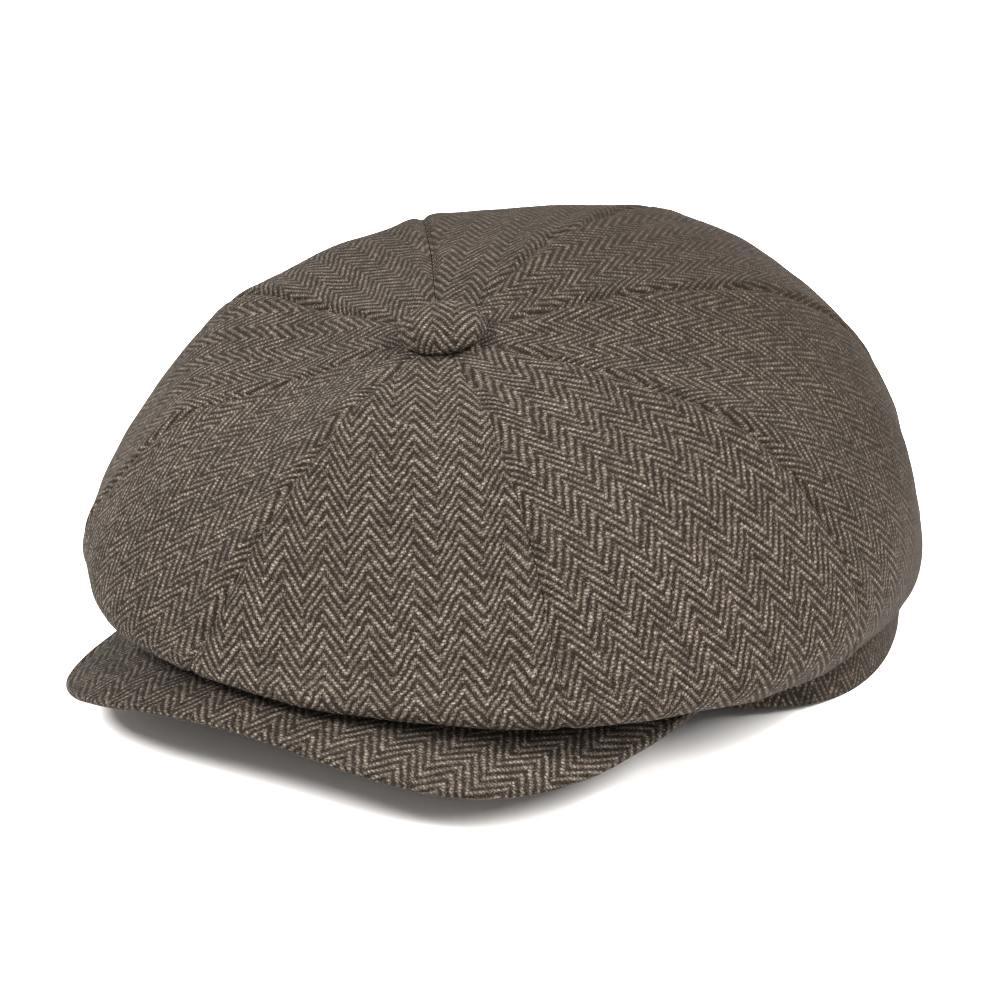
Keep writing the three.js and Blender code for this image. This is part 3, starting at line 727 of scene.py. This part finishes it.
def peak_layer(name, top, bottom, rim_turn, inset):
    """A layer of the peak between two heights above its middle surface.

    rim_turn gives the angles between which the layer turns round the peak's rim. Without it the
    layer ends flat.
    """
    columns, rows = PEAK_GRID
    end_inset = inset / INSET_TO_ENDS
    sides = np.linspace(-1 + end_inset, 1 - end_inset, columns)[:, None]
    along = np.linspace(inset, 1 - inset, rows)[None, :] + 0 * sides
    sides = sides + 0 * along
    points = peak_surface(sides, along)
    outwards = unit((points[:, -1] - points[:, -2]) * [1, 1, 0])[:, None, :]
    from_rim = np.linalg.norm(points - points[:, -1:], axis=-1)
    taper = 1 - smooth(from_rim / PEAK_RIM_TAPER)
    from_end = np.minimum(*(np.linalg.norm(points - points[end], axis=-1) for end in (0, -1)))
    closing = np.maximum(taper, 1 - smooth(from_end / PEAK_RIM_TAPER))
    points = points + PEAK_RIPPLE * rough(points, RIPPLE_SIZE, SEEDS["peak"])[..., None] * UP
    if rim_turn:
        points = points - outwards * PEAK_RIM_RADIUS * taper[..., None]
    faces = []
    for height in (top, bottom):
        squeeze = (PEAK_HALF_THICKNESS - PEAK_RIM_RADIUS) * closing * np.sign(top + bottom)
        face = points + (height - squeeze)[..., None] * UP
        if rim_turn:
            radius = abs(height) - PEAK_HALF_THICKNESS + PEAK_RIM_RADIUS
            turn = np.linspace(*rim_turn, PEAK_RIM_ROWS)[None, 1:, None]
            rim = points[:, -1:] + radius * (np.cos(turn) * outwards + np.sin(turn) * UP)
            face = np.concatenate([face, rim], axis=1)
        faces.append(face)
    weave = points[..., :2] / MM
    if rim_turn:
        turned = np.abs(np.linspace(0, rim_turn[1] - rim_turn[0], PEAK_RIM_ROWS))[None, 1:, None]
        beyond = weave[:, -1:] + turned * PEAK_RIM_RADIUS / MM * outwards[..., :2]
        weave = np.concatenate([weave, beyond], axis=1)
    return closed_sheet(name, faces[0], faces[1], weave)


# -------- button


def on_apex(points):
    """Points built about the Z axis, moved onto the apex and turned to stand square to the cloth."""
    axis = Vector((-APEX_SLOPE[0], -APEX_SLOPE[1], 1)).normalized()
    turn = np.array(Vector((0, 0, 1)).rotation_difference(axis).to_matrix())
    place = APEX + np.array(axis) * BUTTON_LIFT
    return points @ turn.T + place


def button_cover():
    """A round of tweed drawn over a metal shell: a low dome, turned under and gathered at its rim."""
    segments, dome_rows = BUTTON_GRID
    angle = np.linspace(0, TURN, segments, endpoint=False)[:, None]
    climb = np.linspace(0, math.pi / 2, dome_rows)[:-1]
    radius = BUTTON_RADIUS * np.cos(climb) ** BUTTON_DOME[0]
    height = BUTTON_HEIGHT * np.sin(climb) ** BUTTON_DOME[1]
    radius = np.concatenate([BUTTON_TURNED_IN[:, 0] * BUTTON_RADIUS, radius])[None, :]
    height = np.concatenate([BUTTON_TURNED_IN[:, 1] * BUTTON_CLOTH, height])[None, :]
    near_rim = np.exp(-((height / BUTTON_CLOTH + 1) / BUTTON_GATHER_REACH) ** 2)
    gather = 1 + BUTTON_GATHER_DEPTH * np.sin(angle * BUTTON_GATHERS) * near_rim
    x = radius * gather * np.sin(angle)
    y = -radius * gather * np.cos(angle)
    points = np.stack([x, y, height + 0 * angle], axis=-1)
    profile = np.hypot(np.diff(radius), np.diff(height))
    from_top = np.cumsum(profile[:, ::-1], axis=1)[:, ::-1]
    from_top = np.append(from_top, 0 * from_top[:, :1], axis=1) + radius[0, -1]
    draped = np.stack([from_top * np.sin(angle), -from_top * np.cos(angle)], axis=-1)
    weave = turn_cloth(draped / MM, BUTTON_GRAIN, BUTTON_SHIFT)
    rows = points.shape[1]
    top = np.array([[0, 0, BUTTON_HEIGHT]])
    flat = points.reshape(-1, 3)
    faces = []
    for segment in range(segments):
        here, there = segment * rows, (segment + 1) % segments * rows
        for row in range(rows - 1):
            faces.append((here + row, there + row, there + row + 1, here + row + 1))
        faces.append((here + rows - 1, there + rows - 1, segments * rows))
    faces.append(tuple(segment * rows for segment in range(segments - 1, -1, -1)))
    all_weave = np.concatenate([weave.reshape(-1, 2), [[BUTTON_SHIFT, 0]]])
    return new_mesh("button_cover_cloth", on_apex(np.concatenate([flat, top])), faces, all_weave)


# -------- materials


class Surface:
    """A procedural material that is built up one node at a time."""

    def __init__(self, name):
        self.material = bpy.data.materials.new(name)
        self.material.use_nodes = True
        self.nodes = self.material.node_tree.nodes
        self.links = self.material.node_tree.links
        self.shader = self.nodes["Principled BSDF"]

    def put(self, socket, value):
        """Links a node's output to a socket, or sets the socket to a plain value."""
        if isinstance(value, bpy.types.NodeSocket):
            self.links.new(value, socket)
        else:
            socket.default_value = value

    def math(self, operation, *values, clamp=False):
        node = self.nodes.new("ShaderNodeMath")
        node.operation = operation
        node.use_clamp = clamp
        for socket, value in zip(node.inputs, values):
            self.put(socket, value)
        return node.outputs[0]

    def blend(self, share, first, second):
        """A number between two numbers."""
        node = self.nodes.new("ShaderNodeMix")
        for place, value in zip((0, 2, 3), (share, first, second)):
            self.put(node.inputs[place], value)
        return node.outputs[0]

    def colour(self, share, first, second, how="MIX"):
        """A colour between two colours."""
        node = self.nodes.new("ShaderNodeMix")
        node.data_type = "RGBA"
        node.blend_type = how
        for place, value in zip((0, 6, 7), (share, first, second)):
            self.put(node.inputs[place], (*value, 1) if isinstance(value, tuple) else value)
        return node.outputs[2]

    def scale(self, colour, value):
        node = self.nodes.new("ShaderNodeVectorMath")
        node.operation = "SCALE"
        self.put(node.inputs[0], colour)
        self.put(node.inputs["Scale"], value)
        return node.outputs[0]

    def weave(self):
        """The cloth's own coordinates, in millimetres."""
        node = self.nodes.new("ShaderNodeUVMap")
        node.uv_map = "weave"
        return node.outputs[0]

    def split(self, vector):
        node = self.nodes.new("ShaderNodeSeparateXYZ")
        self.put(node.inputs[0], vector)
        return node.outputs[0], node.outputs[1]

    def join(self, x, y, z=0.0):
        node = self.nodes.new("ShaderNodeCombineXYZ")
        for socket, value in zip(node.inputs, (x, y, z)):
            self.put(socket, value)
        return node.outputs[0]

    def place(self):
        """The point on the object, in millimetres."""
        node = self.nodes.new("ShaderNodeTexCoord")
        return self.scale(node.outputs["Object"], 1 / MM)

    def noise(self, vector, size, detail=2.0, roughness=0.5):
        """Noise from 0 to 1 with features of a given size, in the vector's unit."""
        node = self.nodes.new("ShaderNodeTexNoise")
        self.put(node.inputs["Vector"], vector)
        self.put(node.inputs["Scale"], 1 / size)
        self.put(node.inputs["Detail"], detail)
        self.put(node.inputs["Roughness"], roughness)
        return node.outputs[0]

    def speckle(self, vector):
        """A random number from 0 to 1 for each whole-numbered vector."""
        node = self.nodes.new("ShaderNodeTexWhiteNoise")
        self.put(node.inputs["Vector"], vector)
        return node.outputs["Value"]

    def step(self, value, low, high, first=0.0, second=1.0):
        """A value that runs smoothly from first to second as value goes from low to high."""
        node = self.nodes.new("ShaderNodeMapRange")
        node.interpolation_type = "SMOOTHSTEP"
        for socket, number in zip(node.inputs, (value, low, high, first, second)):
            self.put(socket, number)
        return node.outputs[0]

    def rounded(self, fraction):
        """1 along a yarn's middle line and 0 at its sides."""
        side = self.math("MULTIPLY_ADD", fraction, 2.0, -1.0)
        return self.math("SUBTRACT", 1.0, self.math("MULTIPLY", side, side))

    def arc(self, along):
        """How high a yarn stands, 0 to 1, as it rises over two others and dips under two."""
        return self.math("ABSOLUTE", self.math("SINE", self.math("MULTIPLY", along, math.pi / 2)))

    def ribs(self, turns):
        """A wave between 0 and 1, one for each whole turn."""
        return self.math("MULTIPLY_ADD", self.math("SINE", self.math("MULTIPLY", turns, TURN)), 0.5, 0.5)

    def bump(self, height, distance, strength=1.0):
        node = self.nodes.new("ShaderNodeBump")
        self.put(node.inputs["Height"], height)
        self.put(node.inputs["Distance"], distance)
        self.put(node.inputs["Strength"], strength)
        return node.outputs[0]

    def finish(self, **sockets):
        for name, value in sockets.items():
            socket = self.shader.inputs[name.replace("_", " ")]
            self.put(socket, (*value, 1) if isinstance(value, tuple) else value)
        return self.material


def uneven_cloth(s, body):
    """The cloth's coordinates, pushed about a little."""
    u, v = s.split(s.weave())
    wander = s.math("SUBTRACT", s.noise(body, *WANDER), 0.5)
    drift = s.math("SUBTRACT", s.noise(body, *DRIFT), 0.5)
    jitter = s.math("SUBTRACT", s.noise(body, *JITTER), 0.5)
    u = s.math("ADD", u, s.math("ADD", wander, s.math("MULTIPLY", jitter, JITTER_ACROSS)))
    wander = s.math("MULTIPLY", wander, WANDER_ALONG)
    v = s.math("ADD", v, s.math("ADD", wander, s.math("MULTIPLY", drift, DRIFT_ALONG)))
    return u, s.math("ADD", v, s.math("MULTIPLY", jitter, JITTER_ALONG))


def herringbone(s, u, v):
    """A 2/2 twill whose diagonal turns back every column of warp yarns.

    Gives 1 where a weft yarn is on top, the height of the weft and of the warp, the place across
    the diagonal in yarns, and a vector that numbers the floats.
    """
    warp = s.math("DIVIDE", u, WARP_PITCH)
    weft = s.math("DIVIDE", v, WEFT_PITCH)
    pick = s.math("FLOOR", weft)
    slope = s.math("PINGPONG", warp, ENDS_PER_COLUMN)
    warp_middle = s.math("ADD", s.math("FLOOR", warp), 0.5)
    slope_step = s.math("SUBTRACT", s.math("PINGPONG", warp_middle, ENDS_PER_COLUMN), 0.5)
    over = s.math("FLOORED_MODULO", s.math("ADD", pick, slope_step), TWILL_REPEAT)
    weft_on_top = s.math("LESS_THAN", over, TWILL_REPEAT / 2 - 0.5)

    along_weft = s.math("FLOORED_MODULO", s.math("ADD", pick, slope), TWILL_REPEAT)
    along_warp = s.math("FLOORED_MODULO", s.math("ADD", weft, slope_step), TWILL_REPEAT)
    weft_height = s.math("MULTIPLY", s.arc(along_weft), s.rounded(s.math("FRACT", weft)))
    warp_height = s.math("MULTIPLY", s.arc(along_warp), s.rounded(s.math("FRACT", warp)))
    warp_height = s.math("MULTIPLY", warp_height, WARP_SUNK)

    diagonal = s.math("SUBTRACT", s.math("ADD", weft, slope), 0.5)
    float_number = s.join(
        s.math("FLOOR", s.math("DIVIDE", s.math("ADD", pick, slope), TWILL_REPEAT)),
        pick,
        s.math("FLOOR", s.math("DIVIDE", warp, ENDS_PER_COLUMN)),
    )
    return weft_on_top, weft_height, warp_height, diagonal, float_number


def yarn_fibres(s, u, v, weft_on_top):
    """Fine noise, drawn out along whichever yarn is on top."""
    along_weft = s.noise(s.join(s.math("MULTIPLY", u, FIBRE_STRETCH), v), *FIBRES)
    along_warp = s.noise(s.join(u, s.math("MULTIPLY", v, FIBRE_STRETCH)), *FIBRES)
    return s.blend(weft_on_top, along_warp, along_weft)


def yarn_colour(s, body, fibres, diagonal, weft_height, float_number):
    """Light strokes along the diagonal over dark yarn, both a mixture of light and dark fibres."""
    grain = s.noise(body, *GRAIN)
    stroke = s.math("SINE", s.math("MULTIPLY", diagonal, math.pi / 2))
    stroke = s.math("MULTIPLY_ADD", s.math("SUBTRACT", fibres, 0.5), STROKE_FIBRES, stroke)
    stroke = s.math("MULTIPLY_ADD", s.math("SUBTRACT", grain, 0.5), STROKE_GRAIN, stroke)

    least, chance = FLOAT_SHADE
    light = s.colour(s.step(fibres, *NOISE_RANGE), LIGHT_YARN, LIGHT_FLECK)
    light = s.scale(light, s.math("MULTIPLY_ADD", s.speckle(float_number), chance, least))
    # Painted shade at the yarn's sides and painted highlight along its crown.
    light = s.scale(light, s.step(weft_height, *CROWN_RANGE, *CROWN_HIGHLIGHT_AND_SIDE_SHADE))
    dark = s.colour(s.step(fibres, *DARK_FIBRES), DARK_YARN, DARK_FLECK)
    dark = s.colour(s.step(fibres, *PALE_FIBRES, 0.0, PALE_SHARE), dark, LIGHT_YARN)
    yarn = s.colour(s.step(stroke, *STROKE_RANGE), dark, light)
    return s.scale(yarn, s.step(grain, *NOISE_RANGE, *GRAIN_SHADE))


def fibre_haze(s, body, back):
    """How much loose fibres hide the weave: in patches, and more towards the back."""
    patches = s.step(s.noise(body, *PATCHES), *NOISE_RANGE, *PATCH_HAZE)
    haze = s.math("MULTIPLY", s.step(s.noise(body, *LOOSE_FIBRES), *HAZE_RANGE), patches)
    haze = s.blend(s.step(back, *MATTED_FROM, 0.0, MATTED), haze, 1.0)
    return s.math("MULTIPLY", haze, s.step(back, *BACK_SHADE_AND_FELT_FROM, *FELTED))


def tweed():
    """Woollen herringbone: rounded yarns of mixed fibres, under an uneven haze of loose ones."""
    s = Surface("herringbone_tweed")
    body = s.place()
    back = s.split(body)[1]
    u, v = uneven_cloth(s, body)
    weft_on_top, weft_height, warp_height, diagonal, float_number = herringbone(s, u, v)
    fibres = yarn_fibres(s, u, v, weft_on_top)
    haze = fibre_haze(s, body, back)

    yarn = yarn_colour(s, body, fibres, diagonal, weft_height, float_number)
    haze_colour = s.scale(HAZE, s.step(fibres, *HAZE_FIBRES, *HAZE_SHADE))
    colour = s.colour(haze, yarn, haze_colour)
    for pattern, shade in ((BROAD_TONE, BROAD_SHADE), (BLOTCHES, BLOTCH_SHADE)):
        colour = s.scale(colour, s.step(s.noise(body, *pattern), *NOISE_RANGE, *shade))
    # Painted shade: the colour darkens towards the back, standing for dimmer light on the top and back.
    colour = s.colour(s.step(back, *BACK_SHADE_AND_FELT_FROM), colour, BACK_PAINTED_SHADE, "MULTIPLY")

    height = s.blend(weft_on_top, warp_height, weft_height)
    showing = s.math("SUBTRACT", 1.0, s.math("MULTIPLY", haze, HAZE_FLATTENS))
    relief = s.math("ADD", s.math("MULTIPLY", height, showing), s.math("MULTIPLY", fibres, FIBRE_RELIEF))
    return s.finish(
        Base_Color=colour,
        Roughness=s.step(height, 0.0, 1.0, 1.0, 0.82),
        Specular_IOR_Level=0.06,
        Sheen_Weight=0.03,
        Sheen_Roughness=0.4,
        Sheen_Tint=(0.72, 0.66, 0.6),
        Normal=s.bump(relief, TWEED_RELIEF, 0.9),
    )


def plain_weave(name, colours, pitch, roughness, sheen, relief):
    """A plain weave of one colour, with uneven yarns and some fleck."""
    s = Surface(name)
    u, v = s.split(s.weave())
    uneven = s.math("SUBTRACT", s.noise(s.weave(), *YARN_WANDER), 0.5)
    u = s.math("ADD", s.math("DIVIDE", u, pitch), uneven)
    v = s.math("ADD", s.math("DIVIDE", v, pitch), uneven)
    along = s.math("SINE", s.math("MULTIPLY", u, math.pi))
    across = s.math("SINE", s.math("MULTIPLY", v, math.pi))
    height = s.math("MULTIPLY_ADD", s.math("MULTIPLY", along, across), 0.5, 0.5)
    mottle = s.noise(s.weave(), *YARN_MOTTLE)
    # The colour follows the yarns' height: painted shade in the dips between yarns and painted highlight
    # on their tops, with some fleck.
    share = s.math("MULTIPLY", height, 1 - FLECK)
    share = s.math("ADD", share, s.math("MULTIPLY", mottle, FLECK), clamp=True)
    return s.finish(
        Base_Color=s.colour(share, *colours),
        Roughness=s.step(mottle, *NOISE_RANGE, roughness - 0.07, roughness + 0.07),
        Specular_IOR_Level=0.4,
        Sheen_Weight=sheen,
        Normal=s.bump(height, relief),
    )


def twill_tape(name, colours, pitch):
    """A fine diagonal twill, its ribs beaded by the yarns that cross them."""
    s = Surface(name)
    u, v = s.split(s.weave())
    rib = s.ribs(s.math("DIVIDE", s.math("ADD", u, v), pitch))
    beads = s.ribs(s.math("DIVIDE", u, pitch / 2))
    height = s.math("MULTIPLY", rib, s.math("MULTIPLY_ADD", beads, 0.4, 0.6))
    mottle = s.noise(s.weave(), *TAPE_MOTTLE)
    # The colour follows the ribs' height: painted shade in the grooves and painted highlight on the
    # ribs, varied by mottle.
    share = s.math("MULTIPLY", height, s.step(mottle, 0.2, 0.8, 0.6, 1.2))
    return s.finish(
        Base_Color=s.colour(share, *colours),
        Roughness=s.step(mottle, *NOISE_RANGE, 0.72, 0.88),
        Specular_IOR_Level=0.25,
        Sheen_Weight=0.15,
        Normal=s.bump(height, TAPE_RELIEF),
    )


def hard_surface(name, colours, roughness, metallic, grain):
    """Sheet metal or plastic with fine scuffs."""
    s = Surface(name)
    body = s.place()
    scuffs = s.noise(body, grain, 5.0, 0.7)
    return s.finish(
        Base_Color=s.colour(s.step(scuffs, *NOISE_RANGE), *colours),
        Metallic=metallic,
        Roughness=s.step(scuffs, *NOISE_RANGE, roughness - 0.08, roughness + 0.12),
        Normal=s.bump(scuffs, HARD_RELIEF),
    )


def studio_floor():
    """A matt white sweep."""
    s = Surface("studio_floor")
    mottle = s.noise(s.place(), *FLOOR_MOTTLE)
    return s.finish(
        Base_Color=s.colour(mottle, *FLOOR),
        Roughness=0.9,
        Specular_IOR_Level=0.1,
    )


# -------- the studio


def place_camera():
    """The camera, looking at the cap from the front and a little to the wearer's left."""
    back = Vector((
        math.sin(CAMERA_AZIMUTH) * math.cos(CAMERA_ELEVATION),
        -math.cos(CAMERA_AZIMUTH) * math.cos(CAMERA_ELEVATION),
        math.sin(CAMERA_ELEVATION),
    ))
    lens = bpy.data.cameras.new("camera")
    lens.sensor_width = CAMERA_SENSOR
    lens.lens = CAMERA_LENS
    lens.clip_start, lens.clip_end = CAMERA_SEES
    camera = bpy.data.objects.new("camera", lens)
    camera.location = LOOK_AT + back * CAMERA_DISTANCE
    camera.rotation_mode = "QUATERNION"
    camera.rotation_quaternion = (-back).to_track_quat("-Z", "Y")
    bpy.context.scene.collection.objects.link(camera)
    bpy.context.scene.camera = camera


def lay_floor():
    """A wide plain floor under the cap."""
    half = FLOOR_HALF_SIZE
    low = cad_box[0][2]
    corners = [(-half, -half, low), (half, -half, low), (half, half, low), (-half, half, low)]
    floor = new_mesh("floor", corners, [(0, 1, 2, 3)])
    floor.data.materials.append(studio_floor())


def set_lights():
    """An even white surround and three soft lamps."""
    world = bpy.data.worlds.new("studio")
    world.use_nodes = True
    world.node_tree.nodes["Background"].inputs["Color"].default_value = (1, 1, 1, 1)
    world.node_tree.nodes["Background"].inputs["Strength"].default_value = WORLD_LIGHT
    bpy.context.scene.world = world

    for name, place, size, power in LAMPS:
        lamp = bpy.data.lights.new(name, "AREA")
        lamp.shape = "RECTANGLE"
        lamp.size, lamp.size_y = size
        lamp.energy = power
        holder = bpy.data.objects.new(name, lamp)
        holder.location = place
        holder.rotation_mode = "QUATERNION"
        holder.rotation_quaternion = (Vector(place) - LOOK_AT).to_track_quat("Z", "Y")
        bpy.context.scene.collection.objects.link(holder)
    bpy.context.scene.view_settings.view_transform = "Standard"


# -------- the whole cap


def stands_for(piece, node, material):
    """Gives a piece its material, and puts it in place of a CAD node."""
    piece.data.materials.append(material)
    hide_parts(node)


def on_cap(piece, node, material):
    """The same, for a piece of the cap's own body."""
    stands_for(piece, node, material)
    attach(piece, "cap")


def dress_cap(wool):
    """The crown, its lining, the bands and the button's cover."""
    satin = plain_weave("satin", SATIN, pitch=0.22, roughness=0.34, sheen=0.2, relief=0.02 * MM)
    twill = twill_tape("cotton_twill", COTTON, pitch=0.7)
    for panel in range(PANELS):
        on_cap(crown_panel(panel), f"crown_panel_{panel + 1}", wool)
        on_cap(lining_panel(panel), f"lining_panel_{panel + 1}", satin)
    band = band_ring("outer_headband_cloth", 0, BAND_CLOTH, 0, BAND_RIPPLE, SEEDS["band"])
    on_cap(band, "outer_headband", wool)
    inner = (SWEATBAND_INSET, SWEATBAND, INNER_RING_INSET, SWEATBAND_RIPPLE, SEEDS["sweatband"])
    on_cap(band_ring("sweatband_cloth", *inner), "sweatband", twill)
    on_cap(button_cover(), "button_cover", wool)


def dress_peak(wool):
    """The peak's two covers and its stiffener, which bend down together from the root."""
    board = hard_surface("stiffener_board", BOARD, roughness=0.5, metallic=0.0, grain=3.0)
    low = STIFFENER / 2 + LAYER_GAP
    high = PEAK_HALF_THICKNESS
    top = peak_layer("peak_top_cloth", high, low, TOP_RIM_TURN, 0)
    stands_for(top, "peak_top_cover", wool)
    under = peak_layer("peak_under_cloth", -low, -high, UNDER_RIM_TURN, 0)
    stands_for(under, "peak_under_cover", wool)
    half = STIFFENER / 2
    stiffener = peak_layer("peak_stiffener_board", half, -half, None, STIFFENER_INSET)
    stands_for(stiffener, "peak_stiffener", board)
    root = float(peak_root(np.array(0.0))[1])
    for piece in (top, under, stiffener):
        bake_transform(piece)


def dress_kept_nodes():
    """Materials for the CAD nodes whose own shape stays."""
    canvas = plain_weave("canvas", CANVAS, pitch=0.6, roughness=0.85, sheen=0.1, relief=0.15 * MM)
    metal = hard_surface("plated_metal", METAL, roughness=0.3, metallic=1.0, grain=2.0)
    thread = plain_weave("thread", THREAD, pitch=0.3, roughness=0.8, sheen=0.2, relief=0.08 * MM)
    kept = {
        "crown_patch": canvas,
        "headband_interlining": canvas,
        "button_shell": metal,
        "button_back_plate": metal,
        "button_shank_loop": metal,
        "button_thread": thread,
    }
    for node, material in kept.items():
        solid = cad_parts[node]
        solid.data.materials.clear()
        solid.data.materials.append(material)


def dress():
    """Makes every visible piece, in place of its plain CAD solid."""
    wool = tweed()
    dress_cap(wool)
    dress_peak(wool)
    dress_kept_nodes()


place_camera()
lay_floor()
set_lights()
dress()
